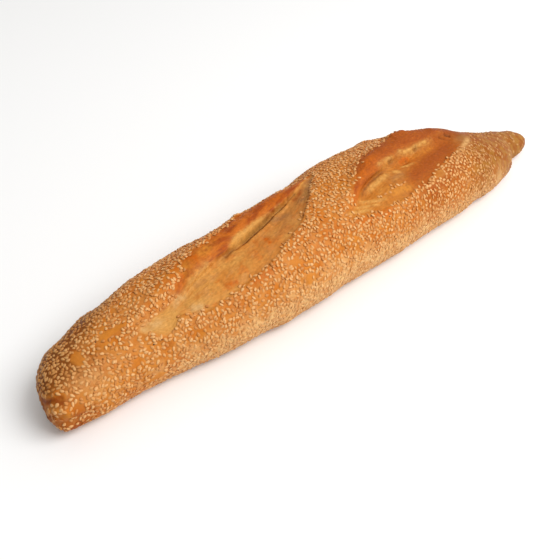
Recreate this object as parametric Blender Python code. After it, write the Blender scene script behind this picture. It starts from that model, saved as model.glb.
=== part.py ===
"""A sesame-crusted batard: one long hearth loaf, baked whole, with two slanting scores opened along its top.

The loaf lies along X on its flat base at Z = 0. One end, at -X, is blunt with a small foot at the table;
the other, at +X, tapers into a nose. Sizes are in metres.
"""

import math

import bmesh
import bpy
from mathutils import Vector, noise

# Driving sizes of the whole loaf.
LENGTH = 0.443
WIDTH = 0.0905
HEIGHT = 0.0595

# Where the loaf's sections are given, as shares of its length from the blunt end.
SECTION_SHARES = (0.0, 0.035, 0.08, 0.16, 0.28, 0.42, 0.56, 0.70, 0.80, 0.88, 0.925, 0.96, 1.0)
# Half width of each section, as a share of half of WIDTH: the loaf is fullest past its middle.
SECTION_FULLNESS = (0.69, 0.63, 0.64, 0.75, 0.875, 0.91, 0.98, 0.945, 0.77, 0.515, 0.36, 0.28, 0.23)
# How far each section's middle lies to the side of the X axis: the dough was laid down with a slight bend.
SECTION_OFFSETS = (
    -0.0045, 0.005, 0.0085, 0.0095, 0.0045, 0.0015, 0.0025, 0.0, -0.0065, -0.011, -0.009, -0.009, -0.008
)

# Section form: its widest line is low, the crown is high, and the base is pressed flat by the tray.
WIDEST_AT = 0.40
CROWN_RISE = 0.60
BELLY_DROP = 0.64
BASE_BLEND = 0.008
SIDE_SQUARENESS = 0.92

# How far each end takes to close, and how square the closing is.
BLUNT_CAP = 0.040
BLUNT_CAP_POWER = 2.3
NOSE_CAP = 0.015
NOSE_CAP_POWER = 2.3
CAP_HEIGHT_SHARE = 0.8

# The seams that the shaping left at the ends: a foot under the blunt end, and a pinch behind the nose.
FOOT_SEAM_HEIGHT = 0.016
FOOT_SEAM_DEPTH = 0.0035
FOOT_SEAM_WIDTH = 0.0045
FOOT_REACH = 0.030
NOSE_PINCH_BACK = 0.033
NOSE_PINCH_DEPTH = 0.0028
NOSE_PINCH_WIDTH = 0.006

# Slow unevenness of hand-shaped dough.
LUMP_HEIGHT = 0.0011
LUMP_SIZE = 0.045

# Each score, seen from above: stations along X, then the sideways place of the near lip, the tear and the far ear.
FIRST_SCORE = {
    "along": (-0.168, -0.138, -0.103, -0.066, -0.028, 0.010),
    "near_lip": (-0.001, -0.017, -0.024, -0.019, -0.006, 0.020),
    "tear": (0.000, -0.004, -0.001, 0.003, 0.012, 0.021),
    "ear": (0.001, 0.004, 0.014, 0.024, 0.026, 0.024),
}
SECOND_SCORE = {
    "along": (-0.012, 0.017, 0.047, 0.080, 0.112, 0.138),
    "near_lip": (-0.026, -0.031, -0.034, -0.032, -0.023, -0.006),
    "tear": (-0.025, -0.017, -0.010, -0.008, -0.007, -0.004),
    "ear": (-0.024, -0.010, 0.004, 0.009, 0.006, -0.002),
}
SCORES = (FIRST_SCORE, SECOND_SCORE)
SCORE_FLOOR_DEPTH = 0.0022
SCORE_TEAR_DEPTH = 0.0058
SCORE_EAR_RISE = 0.0026
SCORE_BACK_SLOPE = 0.014
SCORE_FADE = 0.24

# Faceting of the solid.
AROUND = 44
ALONG = 110
PROFILE_STEPS = 1200
CROWN_CROWDING = 0.32

CRUST_COLOUR = (0.58, 0.25, 0.07, 1.0)
CRUST_ROUGHNESS = 0.55


def clear_scene():
    for thing in list(bpy.data.objects):
        bpy.data.objects.remove(thing, do_unlink=True)


def ease(start, end, at):
    """0 before start, 1 past end, and a soft S between them."""
    share = min(max((at - start) / (end - start), 0.0), 1.0)
    return share * share * (3 - 2 * share)


def through(stations, values, at):
    """A smooth curve through values at stations, flat outside them."""
    last = len(stations) - 1
    if at <= stations[0]:
        return values[0]
    if at >= stations[last]:
        return values[last]
    left = max(i for i in range(last) if stations[i] <= at)
    slopes = []
    for i in (left, left + 1):
        before, after = max(i - 1, 0), min(i + 1, last)
        slopes.append((values[after] - values[before]) / (stations[after] - stations[before]))
    span = stations[left + 1] - stations[left]
    t = (at - stations[left]) / span
    rise = values[left + 1] - values[left]
    bend_in = slopes[0] * span - rise
    bend_out = rise - slopes[1] * span
    return values[left] + rise * t + t * (1 - t) * (bend_in * (1 - t) + bend_out * t)


def closing(distance, reach, power):
    """How open a section is at this distance from a tip: 0 at the tip, 1 past reach."""
    short = 1 - min(max(distance / reach, 0.0), 1.0)
    return max(1 - short**power, 0.0) ** (1 / power)


def section_at(share):
    """Half width, height, height's closing and sideways place of the section at this share of the length."""
    from_blunt = share * LENGTH
    from_nose = (1 - share) * LENGTH
    fullness = through(SECTION_SHARES, SECTION_FULLNESS, share)
    wide = closing(from_blunt, BLUNT_CAP, BLUNT_CAP_POWER) * closing(from_nose, NOSE_CAP, NOSE_CAP_POWER)
    high = closing(from_blunt, BLUNT_CAP * CAP_HEIGHT_SHARE, BLUNT_CAP_POWER)
    high *= closing(from_nose, NOSE_CAP * CAP_HEIGHT_SHARE, NOSE_CAP_POWER)
    middle = through(SECTION_SHARES, SECTION_OFFSETS, share)
    return WIDTH / 2 * fullness * wide, HEIGHT * fullness, high, middle


def even_shares():
    """Shares of the length that step evenly along the loaf's outline, tips included."""
    points = []
    for i in range(PROFILE_STEPS + 1):
        share = (1 - math.cos(math.pi * i / PROFILE_STEPS)) / 2
        points.append((share * LENGTH, section_at(share)[0]))
    travelled = [0.0]
    for a, b in zip(points, points[1:]):
        travelled.append(travelled[-1] + math.dist(a, b))
    shares = []
    place = 0
    for ring in range(ALONG + 1):
        wanted = travelled[-1] * ring / ALONG
        while place < PROFILE_STEPS - 1 and travelled[place + 1] < wanted:
            place += 1
        part = (wanted - travelled[place]) / (travelled[place + 1] - travelled[place])
        x = points[place][0] + part * (points[place + 1][0] - points[place][0])
        shares.append(min(max(x / LENGTH, 0.0), 1.0))
    return shares


def press_flat(height):
    """Heights under the tray come up to Z = 0, with a soft edge."""
    if height >= BASE_BLEND:
        return height
    if height <= -BASE_BLEND:
        return 0.0
    return (height + BASE_BLEND) ** 2 / (4 * BASE_BLEND)


def score_relief(score, x, y):
    """How far the crust stands out of, or sinks into, the smooth loaf at this place in a score."""
    first, last = score["along"][0], score["along"][-1]
    if not first < x < last:
        return 0.0
    fade = (last - first) * SCORE_FADE
    strength = ease(first, first + fade, x) * ease(last, last - fade, x)
    near = through(score["along"], score["near_lip"], x)
    tear = through(score["along"], score["tear"], x)
    ear = through(score["along"], score["ear"], x)
    if y < tear:
        inside = ease(near, tear, y)
        lip = ease(near - 0.002, near + 0.004, y)
        return -strength * (SCORE_FLOOR_DEPTH * lip + (SCORE_TEAR_DEPTH - SCORE_FLOOR_DEPTH) * inside)
    if y < ear:
        return strength * (-SCORE_TEAR_DEPTH + (SCORE_TEAR_DEPTH + SCORE_EAR_RISE) * ease(tear, ear, y))
    return strength * SCORE_EAR_RISE * ease(ear + SCORE_BACK_SLOPE, ear, y)


def end_relief(point, outward):
    """How deep the seams cut: one over the foot all round the blunt end, one up the near side of the nose."""
    from_blunt = point.x + LENGTH / 2
    over_foot = math.exp(-(((point.z - FOOT_SEAM_HEIGHT) / FOOT_SEAM_WIDTH) ** 2))
    behind_nose = math.exp(-(((LENGTH / 2 - NOSE_PINCH_BACK - point.x) / NOSE_PINCH_WIDTH) ** 2))
    foot_seam = FOOT_SEAM_DEPTH * over_foot * ease(FOOT_REACH, 0.0, from_blunt)
    nose_pinch = NOSE_PINCH_DEPTH * behind_nose * ease(0.2, -0.8, outward.y)
    return foot_seam + nose_pinch


def crust_point(share, turn):
    """The crust at this share of the length and this turn from the crown, positive towards +Y."""
    half_width, height, high, middle = section_at(share)
    sideways = math.copysign(abs(math.sin(turn)) ** SIDE_SQUARENESS, math.sin(turn))
    up = math.cos(turn)
    reach = CROWN_RISE if up > 0 else BELLY_DROP
    outward = Vector((0, sideways, up)).normalized()
    point = Vector((
        (share - 0.5) * LENGTH,
        middle + half_width * sideways,
        height * (WIDEST_AT + reach * high * up),
    ))
    lump = LUMP_HEIGHT * noise.noise(point / LUMP_SIZE)
    if up > 0:
        lump += sum(score_relief(score, point.x, point.y) for score in SCORES)
    point += (lump - end_relief(point, outward)) * outward
    point.z = press_flat(point.z)
    return point


def stand_centred(bm):
    """Moves the loaf along the table until the middle of its box is over the origin."""
    for axis in (0, 1):
        places = [vertex.co[axis] for vertex in bm.verts]
        middle = (min(places) + max(places)) / 2
        for vertex in bm.verts:
            vertex.co[axis] -= middle


def make_loaf():
    """A ball whose poles become the loaf's two tips, each vertex then moved onto the crust."""
    shares = even_shares()
    bm = bmesh.new()
    bmesh.ops.create_uvsphere(bm, u_segments=AROUND, v_segments=ALONG, radius=1.0)
    for vertex in bm.verts:
        ring = round(math.acos(max(-1.0, min(1.0, -vertex.co.z))) / math.pi * ALONG)
        turn = math.atan2(vertex.co.y, vertex.co.x)
        turn -= CROWN_CROWDING * math.sin(turn)
        vertex.co = crust_point(shares[ring], turn)
    stand_centred(bm)
    bmesh.ops.recalc_face_normals(bm, faces=bm.faces)
    for face in bm.faces:
        face.smooth = True
    mesh = bpy.data.meshes.new("loaf")
    bm.to_mesh(mesh)
    bm.free()
    loaf = bpy.data.objects.new("loaf", mesh)
    bpy.context.scene.collection.objects.link(loaf)
    return loaf


def crust_material():
    material = bpy.data.materials.new("golden_crust")
    material.use_nodes = True
    shader = material.node_tree.nodes["Principled BSDF"]
    shader.inputs["Base Color"].default_value = CRUST_COLOUR
    shader.inputs["Roughness"].default_value = CRUST_ROUGHNESS
    shader.inputs["Metallic"].default_value = 0.0
    return material


def main():
    clear_scene()
    loaf = make_loaf()
    loaf.data.materials.append(crust_material())


main()
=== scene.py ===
# %% [markdown]
# # A sesame batard, from the shaped solid to the last seed
# A batard is one piece of dough: rolled, laid in sesame seeds, scored twice along the top and baked on a
# hearth. The oven opens the scores, so the loaf wears two kinds of skin. The old skin is seeded and
# browned. The new skin inside the openings is smooth, streaked and paler.
#
# This file gives a plain solid loaf those two skins. It refines the solid's surface, sculpts the openings
# with functions, scatters some thousands of real seed meshes, and paints everything with shader nodes.
# Lengths are in metres, and +X runs from the blunt end to the nose.

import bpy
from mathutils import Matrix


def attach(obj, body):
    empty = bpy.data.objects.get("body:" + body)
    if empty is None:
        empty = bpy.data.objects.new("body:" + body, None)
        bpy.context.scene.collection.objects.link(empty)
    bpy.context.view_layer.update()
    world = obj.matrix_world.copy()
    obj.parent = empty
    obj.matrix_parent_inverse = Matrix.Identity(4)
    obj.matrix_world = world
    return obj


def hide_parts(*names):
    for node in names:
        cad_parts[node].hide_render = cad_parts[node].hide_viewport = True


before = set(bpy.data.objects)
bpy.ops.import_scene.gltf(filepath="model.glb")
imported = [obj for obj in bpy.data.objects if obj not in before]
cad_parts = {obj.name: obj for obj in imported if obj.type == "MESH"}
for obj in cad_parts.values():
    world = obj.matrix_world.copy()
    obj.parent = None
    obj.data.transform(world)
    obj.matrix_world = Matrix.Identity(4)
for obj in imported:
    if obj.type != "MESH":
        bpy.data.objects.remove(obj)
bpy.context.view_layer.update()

# %% The tools of the kitchen
import itertools
import math

import bmesh
import bpy
import numpy as np
from mathutils import Matrix, Vector, noise

MM = 0.001
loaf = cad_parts["loaf"]

# %% [markdown]
# ## Helpers for nodes
# The light and every material are made of shader nodes. These few functions make a node, link sockets, do
# a sum, and turn a display colour into the linear one that shaders take.

# %% Node helpers
def add(tree, kind, values=(), **settings):
    """A new node, with settings such as operation='ADD' and constant values for some of its inputs."""
    node = tree.nodes.new(kind)
    for name, value in settings.items():
        setattr(node, name, value)
    for name, value in dict(values).items():
        node.inputs[name].default_value = value
    return node


def join(tree, *pairs):
    """Links given as (from_socket, to_socket)."""
    for source, target in pairs:
        tree.links.new(source, target)


def calc(tree, operation, *values, clamp=False):
    """What a Math node makes of its values, each a socket or a number."""
    node = add(tree, "ShaderNodeMath", operation=operation, use_clamp=clamp)
    for socket, value in zip(node.inputs, values):
        if isinstance(value, float):
            socket.default_value = value
        else:
            join(tree, (value, socket))
    return node.outputs[0]


def colour(red, green, blue):
    """A display colour, 0 to 255, as the linear colour that shader sockets take."""
    def linear(value):
        share = value / 255
        return share / 12.92 if share <= 0.04045 else ((share + 0.055) / 1.055) ** 2.4
    return (linear(red), linear(green), linear(blue), 1.0)


print("a middling crust colour is", [round(share, 3) for share in colour(200, 122, 38)])

# %% [markdown]
# ## Camera
# The loaf lies slantwise in the frame, its blunt end near and its nose far. The camera stands about half a
# metre off, on the side where the scores open, and looks down at some 44 degrees, as someone at a counter
# would. An Euler turn of (90 degrees less the tilt, 0, azimuth) is the usual way to aim a camera that never
# rolls.

# %% Camera
CAMERA_PLACE = (-0.2966, -0.2842, 0.3693)
CAMERA_AZIMUTH = math.radians(-42)
CAMERA_DOWNWARD = math.radians(44)
CAMERA_LENS = 49.57
SENSOR_WIDTH = 36.0

camera = bpy.data.objects.new("camera", bpy.data.cameras.new("camera"))
camera.data.lens = CAMERA_LENS
camera.data.sensor_width = SENSOR_WIDTH
camera.location = CAMERA_PLACE
camera.rotation_euler = (math.pi / 2 - CAMERA_DOWNWARD, 0, CAMERA_AZIMUTH)
bpy.context.scene.collection.objects.link(camera)
bpy.context.scene.camera = camera
print("the camera sees", round(math.degrees(camera.data.angle), 1), "degrees across")

# %% [markdown]
# ## Light
# Bread looks dull under flat light and harsh under a bare lamp. A wide soft lamp on the near side draws the
# seeds and the lips of the openings. The room fills the shade: its walls are brighter on the lamp's side
# than behind the loaf, so the blunt end and the far flank turn brown and deep, as they would by a window.

# %% Light
WARM_WHITE = (1.0, 0.99, 0.97, 1.0)
LAMP_WATTS = 21.0
LAMP_SIDE = 1.1
LAMP_PLACE = Vector((0.48, -0.85, 1.30))
BRIGHT_SIDE = Vector((0.72, -0.20, 0.66))
ROOM_BRIGHT = 0.82
ROOM_DARK = 0.16
DARK_UNTIL = -0.7

lamp = bpy.data.objects.new("soft_lamp", bpy.data.lights.new("soft_lamp", "AREA"))
lamp.data.energy = LAMP_WATTS
lamp.data.size = LAMP_SIDE
lamp.location = LAMP_PLACE
lamp.rotation_euler = (-LAMP_PLACE).to_track_quat("-Z", "Y").to_euler()
bpy.context.scene.collection.objects.link(lamp)


def room_world():
    """A pale room, brightest towards the lamp."""
    world = bpy.data.worlds.new("pale_room")
    world.use_nodes = True
    tree = world.node_tree
    background = tree.nodes["Background"]
    background.inputs["Color"].default_value = WARM_WHITE
    direction = add(tree, "ShaderNodeTexCoord")
    towards_lamp = add(tree, "ShaderNodeVectorMath", {1: BRIGHT_SIDE.normalized()}, operation="DOT_PRODUCT")
    levels = {"From Min": DARK_UNTIL, "To Min": ROOM_DARK, "To Max": ROOM_BRIGHT}
    brightness = add(tree, "ShaderNodeMapRange", levels, interpolation_type="SMOOTHSTEP")
    join(
        tree,
        (direction.outputs["Generated"], towards_lamp.inputs[0]),
        (towards_lamp.outputs["Value"], brightness.inputs["Value"]),
        (brightness.outputs["Result"], background.inputs["Strength"]),
    )
    return world


bpy.context.scene.world = room_world()
bpy.context.scene.view_settings.view_transform = "Standard"
print("lamp", LAMP_WATTS, "W, room from", ROOM_DARK, "to", ROOM_BRIGHT)

# %% [markdown]
# ## Floor
# The loaf rests on a plain pale table. One big flat square is enough; it isn't part of the bread.

# %% Floor
FLOOR_SIDE = 6.0
TABLE_WHITE = (0.93, 0.93, 0.93)
TABLE_ROUGHNESS = 0.9


def plain_material(name, roughness=0.6, base=(1, 1, 1)):
    """A material with one colour, and its Principled shader."""
    material = bpy.data.materials.new(name)
    material.use_nodes = True
    shader = material.node_tree.nodes["Principled BSDF"]
    shader.inputs["Base Color"].default_value = (*base, 1.0)
    shader.inputs["Roughness"].default_value = roughness
    return material, shader


def object_from(name, bm, material):
    """Puts a finished bmesh into the scene as an object with one material."""
    mesh = bpy.data.meshes.new(name)
    bm.to_mesh(mesh)
    bm.free()
    mesh.materials.append(material)
    thing = bpy.data.objects.new(name, mesh)
    bpy.context.scene.collection.objects.link(thing)
    return thing


floor_bm = bmesh.new()
bmesh.ops.create_grid(floor_bm, x_segments=1, y_segments=1, size=FLOOR_SIDE / 2)
floor_material, _ = plain_material("pale_table", TABLE_ROUGHNESS, TABLE_WHITE)
floor = object_from("floor", floor_bm, floor_material)
print("floor", FLOOR_SIDE, "m square")

# %% [markdown]
# ## A finer skin for the loaf
# The solid has facets some four millimetres wide, too coarse for lips and streaks. Its mesh is loose
# triangles, so a copy is welded first and its triangles are joined back into quads, which subdivide evenly.
# One round of Subdivision Surface smooths it. The crown and sides are then cut once more, and the openings
# again, so that the triangles are spent where the detail is. At the two tips the solid's rings crowd
# together, so the skin stays uncut there: relief on crowded corners would fold over itself.

# %% Weld, join and smooth
WELD = 0.01 * MM
QUAD_BEND = math.radians(40)
QUAD_SKEW = math.radians(80)
CROWN_FROM = 4 * MM
TIP_REACH = 9 * MM


def welded_quads(node):
    """The node's surface as one welded bmesh, mostly quads."""
    bm = bmesh.new()
    bm.from_mesh(node.data)
    bmesh.ops.remove_doubles(bm, verts=bm.verts, dist=WELD)
    bmesh.ops.join_triangles(
        bm, faces=bm.faces, angle_face_threshold=QUAD_BEND, angle_shape_threshold=QUAD_SKEW
    )
    return bm


def subdivision_surface(bm, levels):
    """The bmesh after so many levels of Subdivision Surface, worked out on a throw-away object."""
    helper = object_from("helper", bm, None)
    finer = helper.modifiers.new("finer", "SUBSURF")
    finer.levels = finer.render_levels = levels
    graph = bpy.context.evaluated_depsgraph_get()
    smooth = bmesh.new()
    smooth.from_object(helper, graph)
    mesh = helper.data
    bpy.data.objects.remove(helper)
    bpy.data.meshes.remove(mesh)
    return smooth


skin = subdivision_surface(welded_quads(loaf), 1)
tips = [min(skin.verts, key=lambda v: v.co.x).co.copy(), max(skin.verts, key=lambda v: v.co.x).co.copy()]


def at_tip(vertex):
    """Whether a corner is so near a tip that the rings crowd there."""
    return min((vertex.co - tip).length for tip in tips) < TIP_REACH


cut_edges = [edge for edge in skin.edges if all(v.co.z > CROWN_FROM and not at_tip(v) for v in edge.verts)]
bmesh.ops.subdivide_edges(skin, edges=cut_edges, cuts=1, use_grid_fill=True)
print("skin with", len(skin.verts), "vertices, open edges:", sum(not edge.is_manifold for edge in skin.edges))

# %% [markdown]
# ## Where the scores opened
# Each opening is described as a map is, by lines that run along the loaf, seen from above: the near lip,
# the valley where the dough tore, the top of the torn wall, and the far edge where the seeds begin again. A
# few places in millimetres fix each line, and a short moving average rounds its corners.

# %% Lines of the two openings
LINE_STEPS = 300
LINE_SOFTENING = 5


def line_through(*places):
    """How far to the side (+Y) a line lies, as a function of the place along the loaf."""
    along, across = np.array(places, float).T * MM
    steps = np.linspace(along[0], along[-1], LINE_STEPS)
    window = np.hanning(LINE_SOFTENING + 2)[1:-1]
    padded = np.pad(np.interp(steps, along, across), LINE_SOFTENING // 2, "reflect", reflect_type="odd")
    soft = np.convolve(padded, window / window.sum(), "valid")
    return lambda x: np.interp(x, steps, soft)


FIRST_OPENING = {
    "ends": (-0.158, 0.012),
    "lip": line_through(
        (-158, -8), (-153, -12.9), (-149, -16.7), (-145, -18.5), (-140, -19), (-136, -16.5), (-131, -13.5),
        (-127, -15.5), (-125, -20), (-120, -21.2), (-111, -22.7), (-102, -23), (-91, -23.5), (-83, -23.3),
        (-75, -22.6), (-67, -21.8), (-58, -19.5), (-46, -15.7), (-37, -12), (-29, -8.6), (-17, -1.1),
        (-12, 3.4), (-5, 8.8), (3, 14.8), (12, 22.6)
    ),
    "valley": line_through(
        (-158, -8), (-135, -9), (-118, -4), (-104, -1), (-92, 1), (-80, 2.5), (-72, 3), (-60, 5.8),
        (-48, 8.5), (-36, 11.7), (-25, 13.5), (-13, 16.2), (0, 20), (12, 24)
    ),
    "wall": line_through(
        (-158, -8), (-118, -1.5), (-109, 0), (-100, 1.3), (-94, 2.3), (-83, 3.2), (-76, 7.2), (-70, 9.1),
        (-64, 9.6), (-57, 10.8), (-51, 11.5), (-42, 11.9), (-31, 13.4), (-26, 14.4), (-12, 17.5), (12, 24.5)
    ),
    "edge": line_through(
        (-158, -8), (-151, -5.4), (-141, -4.6), (-130, -3.1), (-126, -1.3), (-122, 1), (-119, 3.6),
        (-115, 6.9), (-112, 10), (-106, 13.6), (-98, 14), (-93, 15.3), (-87, 16.2), (-81, 17.6),
        (-73, 19.5), (-63, 24), (-40, 27.5), (-15, 27.5), (0, 26), (12, 24)
    ),
}
SECOND_OPENING = {
    "ends": (-0.008, 0.136),
    "lip": line_through(
        (-8, -22.5), (-4, -24.5), (0, -27), (6, -28.8), (11, -29.7), (16, -30.7), (22, -31.3), (28, -32.2),
        (40, -32.7), (50, -32.2), (54, -31.5), (61, -31.8), (66, -33), (71, -31.7), (75, -29.8), (83, -27.9),
        (92, -26), (101, -24), (110, -22.5), (119, -19.7), (129, -15.2), (136, -7.9)
    ),
    "valley": line_through(
        (-8, -22.5), (9, -20.5), (17, -16), (23, -13.3), (31, -10.9), (37, -9.6), (43, -8.7), (49, -8.1),
        (54, -9), (61, -9.5), (68, -9.8), (75, -11), (83, -11.6), (94, -12.2), (108, -10.4), (122, -8.6),
        (136, -6)
    ),
    "wall": line_through(
        (-8, -22.5), (9, -19.9), (15, -16.9), (17, -15), (26, -12), (34, -10), (42, -7.5), (51, -4.2),
        (61, -1.8), (73, -1.1), (83, -1.1), (96, -1.2), (106, -1.3), (118, -1), (136, -6)
    ),
    "edge": line_through(
        (-8, -22.5), (-3, -22), (3, -20.4), (7, -19.2), (10, -15.8), (14, -12), (19, -7.7), (27, -1.9),
        (34, 3.7), (41, 7.5), (47, 8.2), (53, 9), (60, 9.9), (66, 10), (79, 13), (89, 15), (100, 15.5),
        (112, 12), (125, 5), (136, -6)
    ),
}
OPENINGS = (FIRST_OPENING, SECOND_OPENING)

for opening in OPENINGS:
    first, last = opening["ends"]
    middle = (first + last) / 2
    width = opening["edge"](middle) - opening["lip"](middle)
    print("opening", round((last - first) / MM), "mm long,", round(float(width) / MM), "mm wide")

# %% [markdown]
# ## Reading the map
# Sculpting by functions needs to know, for every vertex, how far it is from each line. Distances are
# arrays, one number for each vertex, so NumPy works them out for the whole skin at once. Two sizes of noise
# fray the lines, as torn dough is never cut clean.

# %% Distances to the lines
FRAY = (
    # depth, then size of a ripple
    (1.2 * MM, 5.5 * MM),
    (0.7 * MM, 2.2 * MM),
)
CROWN_LOW = 20 * MM
CROWN_HIGH = 28 * MM
LEAN_STEP = 1 * MM
CUT_MARGIN = 2 * MM
CUT_FROM = 24 * MM


def ease(start, end, at):
    """0 before start, 1 past end, and a soft S between them. Works on arrays, and either way round."""
    share = np.clip((at - start) / (end - start), 0, 1)
    return share * share * (3 - 2 * share)


def ramp(start, end, at):
    """The same S for places, with its start and end in millimetres."""
    return ease(start * MM, end * MM, at)


def bell(at, width):
    """1 at zero, fading over width on both sides."""
    return np.exp(-((at / width) ** 2))


def rumple(points, size, seed=0):
    """Smooth noise from -1 to 1 at each point, with swellings about as wide as size."""
    shift = Vector((17.3 * seed, 5.1 * seed, 2.9 * seed))
    return np.array([noise.noise(Vector(point) / size + shift) for point in points])


def read_opening(opening, points):
    """Arrays of distances from each point to the opening's lines, positive towards the opening's inside."""
    x, y = points[:, 0], points[:, 1]
    first, last = opening["ends"]
    fray = sum(depth * rumple(points, size, seed=3) for depth, size in FRAY)

    def slant(line):
        """How much longer a straight step across the loaf is than one square to the line."""
        lean = (line(x + LEAN_STEP) - line(x - LEAN_STEP)) / (2 * LEAN_STEP)
        return np.hypot(1, lean)

    from_lip = (y - opening["lip"](x)) / slant(opening["lip"]) + fray
    from_edge = (opening["edge"](x) - y) / slant(opening["edge"]) + fray
    return {
        "from_lip": from_lip,
        "from_edge": from_edge,
        "inside": np.minimum(from_lip, from_edge),
        "past_valley": y - opening["valley"](x),
        "past_wall": y - opening["wall"](x),
        "wall_width": opening["wall"](x) - opening["valley"](x),
        "floor_share": (y - opening["lip"](x)) / np.maximum(opening["valley"](x) - opening["lip"](x), MM),
        "along": np.clip((x - first) / (last - first), 0, 1),
        "crown": ease(CROWN_LOW, CROWN_HIGH, points[:, 2]),
    }


def places_of(bm):
    """Every corner's place, as one array."""
    bm.verts.ensure_lookup_table()
    return np.array([vertex.co for vertex in bm.verts])


coarse = places_of(skin)
near_opening = np.zeros(len(coarse), bool)
for opening in OPENINGS:
    near_opening |= read_opening(opening, coarse)["inside"] > -CUT_MARGIN
near_opening &= coarse[:, 2] > CUT_FROM
open_edges = [edge for edge in skin.edges if all(near_opening[v.index] for v in edge.verts)]
bmesh.ops.subdivide_edges(skin, edges=open_edges, cuts=1, use_grid_fill=True)
cut_verts = [v for v in skin.verts if v.co.z > CROWN_FROM and not at_tip(v)]
bmesh.ops.smooth_vert(skin, verts=cut_verts, factor=0.5, use_axis_x=True, use_axis_y=True, use_axis_z=True)
skin.normal_update()
points = places_of(skin)
normals = np.array([vertex.normal for vertex in skin.verts])
triangles = sum(len(face.verts) - 2 for face in skin.faces)
print("skin with", len(points), "vertices and", triangles, "triangles")

# %% [markdown]
# ## Swellings of the whole loaf
# Hand-shaped dough is never a clean curve. Before anything fine is cut, the skin gets slow swellings and
# hollows, each a soft hill round a place on the crust. The ends and the flanks get most of them.

# %% Swellings
SWELLINGS = (
    # place in mm, radius in mm, height in mm
    ((-192, 29, 26), 7, -1.1),
    ((-172, 35, 27), 7, 1.3),
    ((-158, 34, 33), 14, -1.9),
    ((-148, 35, 33), 5, -0.2),
    ((-120, 34, 38), 25, -0.6),
    ((-77, 30, 45), 14, -1.4),
    ((-55, 27, 48), 3.5, 1.6),
    ((-32, 29, 47), 8, -0.5),
    ((-5, 33, 45), 12, -2.3),
    ((30, 36, 44), 14, 0.7),
    ((59, 34, 46), 6, -0.9),
    ((71, 33, 46), 5, 0.7),
    ((86, 28, 47), 9, -2.9),
    ((105, 22, 46), 7, -1.0),
    ((143, 3, 40), 10, -1.8),
    ((104, 9, 54), 7, -0.9),
    ((155, 3, 33), 8, -0.9),
    ((190, -3, 20), 16, 1.7),
    ((217, -9, 13), 7, -2.0),
    ((-221, -3, 14), 6, -1.3),
    ((-207, -18, 5), 12, -1.2),
    ((-165, -22, 6), 25, -0.6),
    ((-120, -28, 6), 8, 0.2),
    ((-85, -34, 6), 12, -1.1),
    ((-65, -36, 7), 6, 0.7),
    ((-14, -38, 7), 12, -0.9),
    ((35, -40, 7), 18, 0.6),
    ((122, -41, 6), 13, -2.0),
    ((163, -36, 6), 8, -0.4),
)
rise = np.zeros(len(points))
for place, radius, height in SWELLINGS:
    rise += height * MM * bell(np.linalg.norm(points - Vector(place) * MM, axis=1), radius * MM)
print("swellings from", round(rise.min() / MM, 2), "to", round(rise.max() / MM, 2), "mm")

# %% [markdown]
# ## Lips and walls
# At the near lip the seeded skin curls up a little and then drops to the new skin. The new skin sinks
# towards the valley, and past it the wall climbs to the ear, the flap that the oven lifted. Each of these
# is a profile across the opening, added up in one array of rises along the normals.

# %% Sculpt the two openings
LIP_CURL = 0.40 * MM
LIP_CURL_WIDTH = 1.4 * MM
LIP_CURL_BACK = 0.9 * MM
LIP_DROP = 0.60 * MM
WALL_LEAST = 1.5 * MM
FIRST_WALL_LIFT = 2.4 * MM
SECOND_WALL_LIFT = 1.4 * MM

reads = [read_opening(opening, points) for opening in OPENINGS]


def strength_along(read, start, end):
    """Fades an effect out towards both ends of an opening, over these shares of its length."""
    return ease(0, start, read["along"]) * ease(1, 1 - end, read["along"]) * read["crown"]


def lips(read):
    """A rounded lip of old skin, then a drop, both stronger in some places than in others."""
    uneven = 0.8 + 0.9 * rumple(points, 14 * MM, seed=7)
    curl = LIP_CURL * bell(read["from_lip"] + LIP_CURL_BACK, LIP_CURL_WIDTH)
    drop = LIP_DROP * ramp(-0.4, 0.8, read["from_lip"]) * ramp(8, 2, read["from_lip"])
    clear_of_edge = ramp(-1, 2, read["from_edge"])
    return (curl - drop) * uneven * strength_along(read, 0.03, 0.04) * clear_of_edge


def wall(read, lift):
    """Makes the wall steep and its top full, and eases out to nothing where the seeds begin."""
    climb = ease(0, 1, read["past_valley"] / np.maximum(read["wall_width"], WALL_LEAST))
    back = ramp(0, 9, read["from_edge"])
    return lift * climb * back * strength_along(read, 0.30, 0.22)


rise += lips(reads[0]) + lips(reads[1]) * ramp(112, 96, points[:, 0])
rise += wall(reads[0], FIRST_WALL_LIFT) + wall(reads[1], SECOND_WALL_LIFT)
print("openings move the skin by", round(rise.min() / MM, 2), "to", round(rise.max() / MM, 2), "mm")

# %% [markdown]
# ## New skin
# The skin inside an opening was stretched while it was wet. Its texture is short streaks that run along the
# opening, over a fine crumple like paper's. Noise gives both. For the streaks it is read in the opening's own
# coordinates, long along the loaf and short across it.

# %% Streaks and crumple
STREAK_LENGTH = 9 * MM
STREAK_WIDTH = 1.4 * MM
STREAK_DEPTH = 0.28 * MM
STREAK_SEEDS = (11, 21)
CRUMPLES = (
    # height, size, and the noise's own seed
    (0.30 * MM, 7 * MM, 14),
    (0.18 * MM, 2.4 * MM, 15),
    (0.09 * MM, 1.3 * MM, 16),
)
FLOOR_WIDTH = 16 * MM


def stretched_places(read):
    """Places in an opening's own coordinates: along the loaf, and across it as if it were evenly wide."""
    past_valley = read["past_valley"]
    across = np.where(past_valley < 0, (read["floor_share"] - 1) * FLOOR_WIDTH, past_valley)
    return np.stack([points[:, 0], np.clip(across, -2 * FLOOR_WIDTH, 2 * FLOOR_WIDTH)], 1)


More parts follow.
